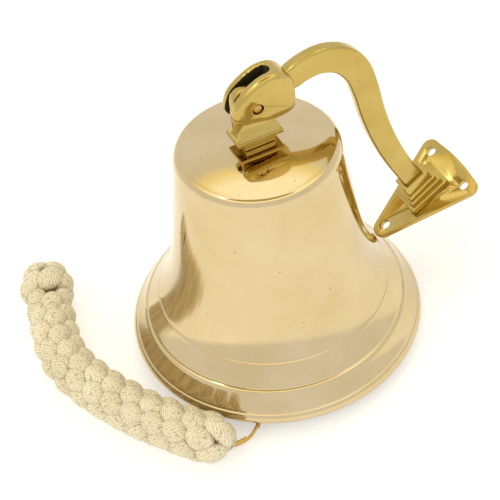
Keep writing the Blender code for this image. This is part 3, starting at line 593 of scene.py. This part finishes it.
def make_lanyard():
    line = rope_line()
    run = run_along(line)
    total = run[-1]
    knot_mid = total - KNOT_REACH
    ahead = unit(np.gradient(line, axis=0))
    right = unit(np.cross(ahead, [0.0, 0.0, 1.0]))
    over = np.cross(right, ahead)
    core = rope_core(run, knot_mid)
    rope = (line, run, ahead, right, over, core)
    phi = np.linspace(0.0, 2 * math.pi, AROUND, endpoint=False)
    radial = over[:, None, :] * np.cos(phi)[None, :, None] + right[:, None, :] * np.sin(phi)[None, :, None]
    surface = line[:, None, :] + radial * core[:, None, None]
    slope = np.gradient(core, run)
    normal = radial - ahead[:, None, :] * slope[:, None, None]
    normal /= np.linalg.norm(normal, axis=2)[:, :, None]
    lobes = rope_lobes(rope, total, knot_mid) + knot_lobes(rope, knot_mid)
    depth, lay = lobe_heights(surface, normal, lobes)
    surface = surface + normal * depth[:, :, None]
    surface[:, :, 2] = np.maximum(surface[:, :, 2], TABLE_CLEAR)
    verts, faces = loft(surface.tolist())
    obj = outward(new_object("lanyard", verts, faces, Matrix.Translation(TABLE)))
    obj.data.shade_smooth()
    attribute = obj.data.attributes.new("lay", "FLOAT_VECTOR", "POINT")
    attribute.data.foreach_set("vector", lay.reshape(-1).astype(np.float32))
    # share of a lobe's height, which the cotton turns into painted shade between the lobes
    attribute = obj.data.attributes.new("depth", "FLOAT", "POINT")
    share = np.clip(depth / LOBE_HIGH, 0.0, 1.0)
    attribute.data.foreach_set("value", share.reshape(-1).astype(np.float32))
    paint(obj, COTTON)
    path = [tuple(Vector(p) * MM + TABLE) for p in line[::6]]
    path.append(tuple(Vector(line[-1]) * MM + TABLE))
    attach(obj, "bell")
    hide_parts("lanyard_eye", "lanyard_rope", "lanyard_knot")


# ---------------------------------------------------------------- bell
MOUTH_R = 89.2
BELL_H = 141.0
STUD_HOLE_R = 3.3
SEAT_FLAT_R = 13.0           # flat on the crown for the seat
WAIST_TOP_R = 47.2
WAIST_SLOPE = 0.143
SHOULDER_Z = 132.0
CROWN_FALL = 3.6
SHOULDER = 4.2               # radius of the shoulder's round
FLARE_START = 45.0           # below the shoulder
FLARE_POWER = 3.1
STEP_Z = 19.7
STEP_R = MOUTH_R - 10.6
BEAD_Z = 7.8
BEAD_R = MOUTH_R - 1.9
LINE_Z = 32.3                # fine scribed line round the flare
LINE_HALF = 0.45
LIP_ROUND = (3.4, 4.4)       # the lip's rounded edge, across and down
BOW_WALL = 5.6               # wall at the sound bow, and how much thinner the waist is
WAIST_THINNER = 2.0


def flare(height):
    """Outer radius of the waist and flare, from the shoulder down to the upper step."""
    fall = SHOULDER_Z - height
    at_step = WAIST_TOP_R + WAIST_SLOPE * (SHOULDER_Z - STEP_Z)
    share = max(0.0, (fall - FLARE_START) / (SHOULDER_Z - STEP_Z - FLARE_START))
    return WAIST_TOP_R + WAIST_SLOPE * fall + (STEP_R - at_step) * share ** FLARE_POWER


def bell_outside():
    """Outer side from the hole in the crown down to the lip's rounded edge."""
    crown_r = WAIST_TOP_R - SHOULDER
    out = [(STUD_HOLE_R, BELL_H), (SEAT_FLAT_R, BELL_H)]
    for k in range(1, 17):
        t = k / 16
        out.append((SEAT_FLAT_R + (crown_r - SEAT_FLAT_R) * t, BELL_H - CROWN_FALL * t ** 1.8))
    turn_h = BELL_H - CROWN_FALL - SHOULDER_Z
    for k in range(1, 17):
        a = math.radians(90.0 * k / 16)
        out.append((crown_r + SHOULDER * math.sin(a), SHOULDER_Z + turn_h * math.cos(a)))
    heights = list(np.linspace(SHOULDER_Z - 2.0, LINE_Z + 0.9, 44))
    out += [(flare(z), z) for z in heights]
    out += [(flare(LINE_Z + LINE_HALF) + 0.04, LINE_Z + LINE_HALF), (flare(LINE_Z) - 0.42, LINE_Z)]
    out += [(flare(LINE_Z - LINE_HALF) + 0.04, LINE_Z - LINE_HALF)]
    out += [(flare(z), z) for z in np.linspace(LINE_Z - 0.9, STEP_Z + 1.0, 12)]
    out += [(flare(STEP_Z + 0.45) - 0.1, STEP_Z + 0.45), (STEP_R - 0.35, STEP_Z)]
    out += [(STEP_R + 0.45, STEP_Z - 0.25), (STEP_R + 0.95, STEP_Z - 0.7)]
    low_r = BEAD_R - 0.55
    first = STEP_R + 1.5
    for k in range(11):
        t = k / 10
        z = STEP_Z - 1.25 + (BEAD_Z + 0.7 - STEP_Z + 1.25) * t
        out.append((first + (low_r - first) * t - 0.35 * math.sin(math.pi * t), z))
    out += [(BEAD_R - 0.45, BEAD_Z + 0.2), (BEAD_R + 0.15, BEAD_Z - 0.1), (BEAD_R + 0.6, BEAD_Z - 0.6)]
    across, down = LIP_ROUND
    for k in range(13):
        a = math.radians(-5.0 + 95.0 * k / 12)
        out.append((MOUTH_R - across + across * math.cos(a), down - down * math.sin(a)))
    return out


def bell_inside():
    """Inner side from the rim up to the hole in the crown."""
    out = [(MOUTH_R - 4.4, 0.25), (MOUTH_R - 5.2, 1.4), (MOUTH_R - 5.7, 4.6)]
    for z in np.linspace(12.0, SHOULDER_Z - 4.0, 30):
        wall = BOW_WALL - WAIST_THINNER * min(1.0, max(0.0, (z - 24.0) / 30.0))
        r = flare(max(z, STEP_Z))
        if z < STEP_Z:
            r += (STEP_Z - z) / (STEP_Z - BEAD_Z) * (BEAD_R - STEP_R)
        out.append((r - wall, z))
    out += [(42.6, 131.5), (40.8, 134.0), (38.0, 135.2), (34.0, 135.8), (19.0, 136.0),
            (STUD_HOLE_R, 136.0)]
    return out


def make_bell():
    shell = lathe("bell_body", bell_outside() + bell_inside(), BELL, steps=288)
    sharp(shell, 50)
    paint(shell, BELL_BRASS)
    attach(shell, "bell")
    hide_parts("bell_shell")


# ---------------------------------------------------------------- yoke
SEAT = (19.0, 13.0, 4.2)
SEAT_Z = BELL_H + GAP
FLANGE = (27.4, 16.0, 2.6)
FLANGE_Z = SEAT_Z + SEAT[2] + GAP
BLOCK_Z = FLANGE_Z + FLANGE[2]
# the block's sides slope in: height, length, width
BLOCK = ((-1.6, 26.0, 14.6), (0.0, 26.0, 14.6), (4.3, 23.5, 7.5), (4.8, 22.9, 6.7))
LUG_T = 5.0
PIN_UP = 15.1                # pin's axis above the block's foot
PIN_HOLE_R = 3.2
# half of the pin's outline: radius, distance from its middle
PIN_END = ((0.0, 8.75), (1.2, 8.7), (2.0, 8.5), (2.5, 8.1), (2.7, 7.4))


def along_y(x, z, matrix):
    """Frame at (x, z) whose local Z runs along Y."""
    return matrix @ Matrix.Translation(Vector((x, 0.0, z)) * MM) @ Matrix.Rotation(math.pi / 2, 4, "X")


def make_yoke():
    seat_mid = SEAT_Z + SEAT[2] / 2
    seat = rounded_box("yoke_pad", SEAT, (0, 0, seat_mid), 0.7, BELL)
    seat_hole = cylinder("seat_hole", STUD_HOLE_R, 12.0, BELL @ Matrix.Translation((0, 0, seat_mid * MM)))
    combine(seat, [seat_hole], "DIFFERENCE")
    sharp(seat, 40)
    paint(seat, CAST_BRASS)
    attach(seat, "bell")
    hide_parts("yoke_seat")
    yoke = rounded_box("yoke", FLANGE, (0, 0, FLANGE_Z + FLANGE[2] / 2), 0.55, BELL)
    sloped = []
    for z, length, width in BLOCK:
        sloped.append([(x, y, BLOCK_Z + z) for x, y in rounded_section(length, width, 0.8)])
    block = outward(new_object("block", *loft(sloped), BELL))
    low = -PIN_UP - 3.0
    line = [(-12.3, low), (12.0, low), (11.6, -PIN_UP + 0.6), (9.6, -12.4), (8.0, -9.6), (7.4, -4.0),
            (7.0, 1.0), (5.2, 6.0), (1.5, 9.6), (-3.0, 11.3), (-8.0, 10.8), (-11.2, 8.4), (-12.5, 3.0)]
    aside = GAP - (SLOT_W - LUG_T) / 2
    lug = slab("lug", line, LUG_T, 0.5, BELL @ Matrix.Translation((0, aside * MM, PIN_H * MM)), 2)
    combine(yoke, [block, lug], "UNION")
    holes = [cylinder("pin_hole", PIN_HOLE_R, 30.0, along_y(0, PIN_H, BELL))]
    stud_at = BELL @ Matrix.Translation((0, 0, (FLANGE_Z - GAP) * MM))
    holes.append(cylinder("stud_hole", STUD_HOLE_R, 12.0, stud_at))
    combine(yoke, holes, "DIFFERENCE")
    soften(yoke, 0.3, 2, 50)
    paint(yoke, CAST_BRASS)
    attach(yoke, "bell")
    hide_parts("crown_yoke")
    outline = list(PIN_END) + [(r, -z) for r, z in reversed(PIN_END)]
    pin = lathe("pin", outline, along_y(0, PIN_H, BELL), 40, False)
    paint(pin, PIN_BRASS)
    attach(pin, "bell")
    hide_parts("hinge_pin")


# ---------------------------------------------------------------- bracket
HEAD_W = 18.0
HEAD_LINE = [(-4.6, -13.4), (-11.2, -6.6), (-13.0, 3.2), (-11.7, 13.9), (-6.7, 21.4), (1.3, 24.2),
             (11.2, 20.3), (18.1, 14.5), (16.2, 4.7), (8.4, -5.1), (1.1, -12.9)]
ARM_LINE = [(6.5, 23.4), (8.0, 32.2), (12.8, 42.1), (22.4, 49.8), (35.8, 52.2), (51.2, 49.1),
            (69.7, 43.2), (87.8, 38.7), (109.9, 35.3)]
ARM_T = 7.6
ARM_START_W = 14.6           # arm's width at the head, over the arch and at the plate
ARM_ARCH_W = 16.6
ARM_END_W = 13.2
ARM_ARCH_AT = 0.25           # share of the arm up to its widest place, and of its taper after that
ARM_TAPER = 0.55
ARM_IN_HEAD = 7.0
ARM_STRAIGHT = 2.0           # straight end of the arm that shows above the collar
# collar's steps from the plate up: length, width, height
COLLAR_STEPS = ((29.0, 21.0, 3.8), (24.2, 17.0, 3.4), (21.2, 14.2, 3.6), (18.4, 11.8, 6.8))
COLLAR_WAY = (13.6, 7.9)
COLLAR_EDGE = 0.55           # radius of the steps' edges
REACH = 155.5                # wall plate's face from the pin
PAIR_UP = 53.3               # pair of screw holes above the pin
ARM_DOWN = 19.4              # arm's middle and the single hole below the pair
SINGLE_DOWN = 51.2
PAIR_HALF = 18.3             # half the spacing of the pair
SCREW_HOLE_R = 3.1
PLATE_T = 3.2
PLATE_HALF = 27.6            # half width at the pair's end
PLATE_BACK = 8.6             # plate's edge beyond the pair, and how much it bows
PLATE_BOW = 1.6
PLATE_TIP = 8.7              # plate's edge beyond the single hole
PLATE_TIP_R = 7.2
PLATE_CORNER_R = 6.0
SLOT_END = 8.9               # middle of the slot's round end from the pin
SLOT_W = 7.4
SLOT_LEAN = math.radians(61.0)
SLOT_RUN = 40.0              # cutter that runs out through the open side
PLATE = (BRACKET @ Matrix.Translation(Vector((REACH, 0.0, PAIR_UP)) * MM)
         @ Matrix.Rotation(-math.pi / 2, 4, "Y") @ Matrix.Rotation(math.pi, 4, "Z"))


def make_head():
    line = [(p.x, p.y) for p in catmull([(x, z, 0.0) for x, z in HEAD_LINE], 6, True)]
    head = slab("fork", line, HEAD_W, 3.0, BRACKET, 6)
    slot_at = BRACKET @ Matrix.Rotation(-SLOT_LEAN, 4, "Y")
    run = rounded_box("slot", (SLOT_RUN, SLOT_W, 60.0), (SLOT_END - SLOT_RUN / 2, 0, 0), 0.01, slot_at, 1)
    end = cylinder("slot_round", SLOT_W / 2, 60.0, slot_at @ Matrix.Translation((SLOT_END * MM, 0, 0)))
    hole = cylinder("pin_way", 3.3, 30.0, along_y(0, 0, BRACKET))
    combine(head, [run, end, hole], "DIFFERENCE")
    soften(head, 0.35, 2, 45)
    paint(head, CAST_BRASS)
    # the slot's inner sides are the faces nearer the middle than its width; they get the near-black brass, painted
    # shade for the slot's dark inside
    head.data.materials.append(SLOT_PAINTED_SHADE)
    for face in head.data.polygons:
        if max(abs(head.data.vertices[v].co.y) for v in face.vertices) < (SLOT_W / 2 + 0.05) * MM:
            face.material_index = 1
    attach(head, "bracket")
    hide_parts("fork_head")


def arm_width(share):
    """Width at a share of the arm's length: wider over the arch, then narrower to the plate."""
    if share < ARM_ARCH_AT:
        return ARM_START_W + (ARM_ARCH_W - ARM_START_W) * math.sin(share / ARM_ARCH_AT * math.pi / 2)
    return ARM_ARCH_W - (ARM_ARCH_W - ARM_END_W) * min(1.0, (share - ARM_ARCH_AT) / ARM_TAPER)


def rounded_section(width, thick, radius, per_corner=6):
    """Points of a rounded rectangle, width along the first axis."""
    out = []
    for corner, (sx, sy) in enumerate(((1, 1), (-1, 1), (-1, -1), (1, -1))):
        for k in range(per_corner + 1):
            a = math.radians(90.0 * corner + 90.0 * k / per_corner)
            out.append((sx * (width / 2 - radius) + radius * math.cos(a),
                        sy * (thick / 2 - radius) + radius * math.sin(a)))
    return out


def make_arm():
    up = PAIR_UP - ARM_DOWN
    straight = sum(rise for length, width, rise in COLLAR_STEPS) + ARM_STRAIGHT
    route = [(x, z, 0.0) for x, z in ARM_LINE] + [(REACH - straight, up, 0.0), (REACH - GAP, up, 0.0)]
    line = evenly(catmull(route, 14), 1.6)
    run = run_along(line)
    ahead = unit(np.gradient(line, axis=0))
    loops = []
    for i, middle in enumerate(line):
        width = arm_width(run[i] / run[-1])
        if i == 0:
            middle = middle - ahead[0] * ARM_IN_HEAD
            width *= 0.72
        side = (-ahead[i][1], ahead[i][0])
        section = rounded_section(width, ARM_T, 1.7)
        loops.append([(middle[0] + side[0] * w, t, middle[1] + side[1] * w) for w, t in section])
    verts, faces = loft(loops)
    arm = sharp(outward(new_object("arm", verts, faces, BRACKET)), 50)
    paint(arm, CAST_BRASS)
    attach(arm, "bracket")
    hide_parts("bracket_arm")


def arc(cx, cy, radius, start, end, count):
    """Points of an arc between two angles in degrees."""
    angles = [math.radians(start + (end - start) * i / count) for i in range(count + 1)]
    return [(cx + radius * math.cos(a), cy + radius * math.sin(a)) for a in angles]


def make_plate():
    tip = SINGLE_DOWN + PLATE_TIP
    straight_back = PLATE_BACK - PLATE_BOW
    lean = math.degrees(math.atan2(PLATE_HALF - PLATE_CORNER_R,
                                   tip - PLATE_TIP_R + PLATE_BACK - PLATE_CORNER_R))
    side = arc(tip - PLATE_TIP_R, 0.0, PLATE_TIP_R, 0.0, 90.0 - lean, 10)
    side += arc(PLATE_CORNER_R - straight_back, PLATE_HALF - PLATE_CORNER_R, PLATE_CORNER_R,
                90.0 - lean, 170.0, 10)
    bow = []
    for y in np.linspace(PLATE_HALF * 0.66, -PLATE_HALF * 0.66, 15):
        bow.append((-straight_back - PLATE_BOW * (1 - (y / (PLATE_HALF * 0.75)) ** 2), y))
    line = side + bow + [(x, -y) for x, y in side[::-1] if y > 0.01]
    upright = PLATE @ Matrix.Translation((0, 0, -PLATE_T / 2 * MM)) @ Matrix.Rotation(-math.pi / 2, 4, "X")
    plate = slab("plate", [(x, -y) for x, y in line], PLATE_T, 0.9, upright, 4)
    holes = []
    for index, (x, y) in enumerate(((0.0, PAIR_HALF), (0.0, -PAIR_HALF), (SINGLE_DOWN, 0.0))):
        at = PLATE @ Matrix.Translation((x * MM, y * MM, -PLATE_T / 2 * MM))
        holes.append(cylinder(f"hole_{index}", SCREW_HOLE_R, 20.0, at))
    at = PLATE @ Matrix.Translation((ARM_DOWN * MM, 0.0, 0.0))
    holes.append(cylinder("screw_way", 2.3, 30.0, at))
    sink = PLATE @ Matrix.Translation((ARM_DOWN * MM, 0.0, -PLATE_T * MM))
    holes.append(cylinder("screw_sink", 4.1, 4.6, sink))
    combine(plate, holes, "DIFFERENCE")
    soften(plate, 0.35, 2, 60)
    paint(plate, CAST_BRASS)
    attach(plate, "bracket")
    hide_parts("wall_plate")


def make_collar():
    """Four steps round the arm's foot, as one solid with the arm's way through it."""
    loops = []

    def add_loop(length, width, z, radius):
        section = rounded_section(length, width, radius, 5)
        loops.append([(ARM_DOWN + x, y, z) for x, y in section])

    z = GAP
    for length, width, rise in COLLAR_STEPS:
        edge_z = z + rise - COLLAR_EDGE
        add_loop(length, width, z, 1.2)
        add_loop(length, width, edge_z, 1.2)
        for k in (1, 2, 3):
            a = math.radians(30.0 * k)
            shrink = 2 * COLLAR_EDGE * (1 - math.cos(a))
            add_loop(length - shrink, width - shrink, edge_z + COLLAR_EDGE * math.sin(a), 1.1)
        z += rise
    add_loop(*COLLAR_WAY, z, 1.6)
    add_loop(*COLLAR_WAY, GAP, 1.6)
    verts, faces = loft(loops, ring=True)
    collar = sharp(outward(new_object("collar", verts, faces, PLATE)), 40)
    paint(collar, CAST_BRASS)
    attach(collar, "bracket")
    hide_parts("arm_collar")


# ---------------------------------------------------------------- split ring
RING_R = 20.0                # middle of the wire
RING_WIRE_R = 1.0
RING_PITCH = 2.0             # between its two turns
RING_LAP = 328.0             # degrees of each flat turn
RING_CLIMB = 32.0            # degrees of the climb between them
RING_TURNED = 690.0          # degrees of wire in all
RING_COUNT = 276
WIRE_SIDES = 14
RING_AT = Vector((-63.168, -56.876, 6.525))      # its middle, on the table
RING_SLOPE = math.radians(3.08)
EXIT_AZ = math.radians(-138.0)                   # side on which it comes out under the lip


def make_ring():
    """Two flat turns of wire, one over the other, with a short climb between them."""
    loops = []
    for i in range(RING_COUNT + 1):
        angle = RING_TURNED * i / RING_COUNT
        climb = min(1.0, max(0.0, (angle - RING_LAP) / RING_CLIMB))
        climb = climb * climb * (3 - 2 * climb)
        a = math.radians(angle + 90.0)
        middle = Vector((RING_R * math.cos(a), RING_R * math.sin(a), RING_PITCH * (climb - 0.5)))
        out = Vector((math.cos(a), math.sin(a), 0.0))
        section = []
        for k in range(WIRE_SIDES):
            b = 2 * math.pi * k / WIRE_SIDES
            section.append(middle + (out * math.cos(b) + Vector((0, 0, 1)) * math.sin(b)) * RING_WIRE_R)
        loops.append(section)
    turn = Matrix.Rotation(EXIT_AZ, 4, "Z") @ Matrix.Rotation(-RING_SLOPE, 4, "Y")
    place = Matrix.Translation(TABLE + RING_AT * MM) @ turn
    ring = sharp(outward(new_object("ring", *loft(loops), place)), 50)
    paint(ring, RING_BRASS)
    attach(ring, "bell")
    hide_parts("split_ring")


# ---------------------------------------------------------------- floor and light
# the studio round the bell, from the horizon (0) to straight up (1)
SKY = [(0.0, (0.62, 0.62, 0.62)), (0.60, (0.61, 0.605, 0.59)), (0.72, (0.60, 0.58, 0.50)),
       (0.77, (0.82, 0.72, 0.38)), (0.83, (1.0, 0.97, 0.80)), (0.935, (1.0, 0.98, 0.90)),
       (0.945, (0.40, 0.30, 0.10)), (1.0, (0.42, 0.34, 0.16))]
SKY_STRENGTH = 1.6
LIT = (0.0, 0.0, 0.1)        # point that the lights look at


def make_stage():
    bpy.ops.mesh.primitive_plane_add(size=8.0, location=(0.0, 0.0, 0.0))
    floor = bpy.context.object
    floor.name = "floor"
    paint(floor, plain_floor())
    world = bpy.data.worlds.new("studio")
    bpy.context.scene.world = world
    world.use_nodes = True
    make, links = node_setter(world)
    shade = world.node_tree.nodes["Background"]
    place = make("ShaderNodeTexCoord").outputs["Generated"]
    height = make("ShaderNodeSeparateXYZ", None, Vector=place).outputs["Z"]
    links.new(ramp(make, height, SKY), shade.inputs["Color"])
    shade.inputs["Strength"].default_value = SKY_STRENGTH


def soft_light(name, at, size, power, colour, mirrored):
    data = bpy.data.lights.new(name, "AREA")
    data.shape = "RECTANGLE"
    data.size = size[0]
    data.size_y = size[1]
    data.energy = power
    data.color = colour
    light = bpy.data.objects.new(name, data)
    bpy.context.scene.collection.objects.link(light)
    light.location = at
    direction = Vector(LIT) - Vector(at)
    light.rotation_euler = direction.to_track_quat("-Z", "Y").to_euler()
    light.visible_glossy = mirrored


def make_lights():
    soft_light("overhead", (0.23, 0.62, 1.5), (0.8, 0.6), 2.6, (1.0, 0.97, 0.84), False)
    soft_light("left", (-1.6, -0.5, 0.9), (0.7, 1.1), 6.0, (1.0, 0.99, 0.97), False)
    soft_light("edges", (-0.5, 0.3, 1.4), (0.12, 0.12), 0.5, (1.0, 0.98, 0.92), True)


# hidden pieces that keep the model's own solids
CARRIED = {"crown_washer": STEEL, "crown_nut": STEEL, "eye_bolt": STEEL, "arm_screw": STEEL,
           "tail_hook": STEEL, "clapper_rod": CLAPPER_BRASS, "clapper_ball": CLAPPER_BRASS,
           "ball_collar": CLAPPER_BRASS}

add_camera()
bpy.context.scene.view_settings.view_transform = "Standard"
make_lanyard()
make_bell()
make_yoke()
make_head()
make_arm()
make_plate()
make_collar()
make_ring()
for node, mat in CARRIED.items():
    paint(frame["nodes"][node], mat)
make_stage()
make_lights()
